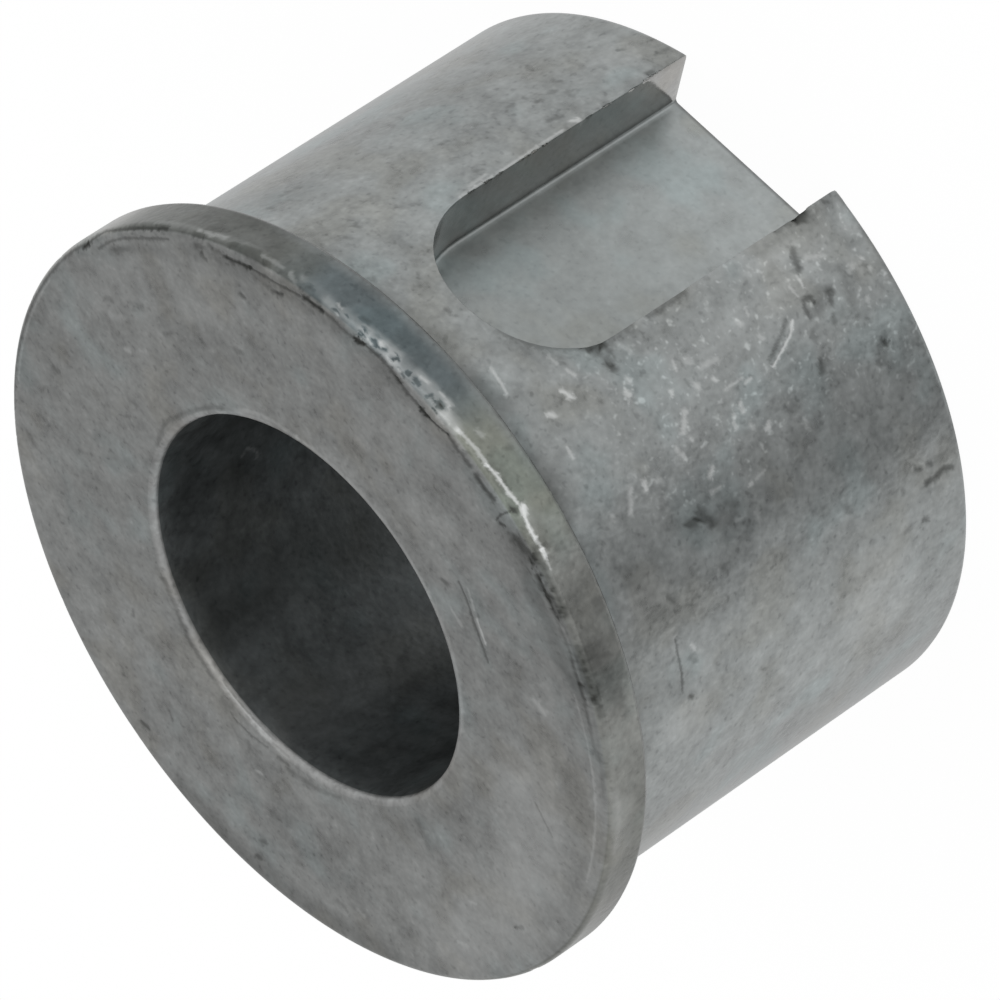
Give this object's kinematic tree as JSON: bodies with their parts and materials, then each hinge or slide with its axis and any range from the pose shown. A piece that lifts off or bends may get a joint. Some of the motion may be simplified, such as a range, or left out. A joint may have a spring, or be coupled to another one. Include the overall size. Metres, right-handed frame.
{
  "type": "flanged bushing",
  "caption": "Thick-walled sleeve bushing with a plain bore, a flange at one end and a round-ended key slot along the barrel.",
  "frame": {"origin": "centre of the slotted end face, on which the bushing stands", "axes": "+Z along the bore towards the flange, key slot open towards -Y"},
  "size_m": [0.038, 0.0381, 0.0245],
  "materials": {
    "iron": "dull grey bare metal with a fine mottled grain, worn bright on the flange edge"
  },
  "bodies": {
    "root": {"bushing": "iron"}
  },
  "joints": []
}
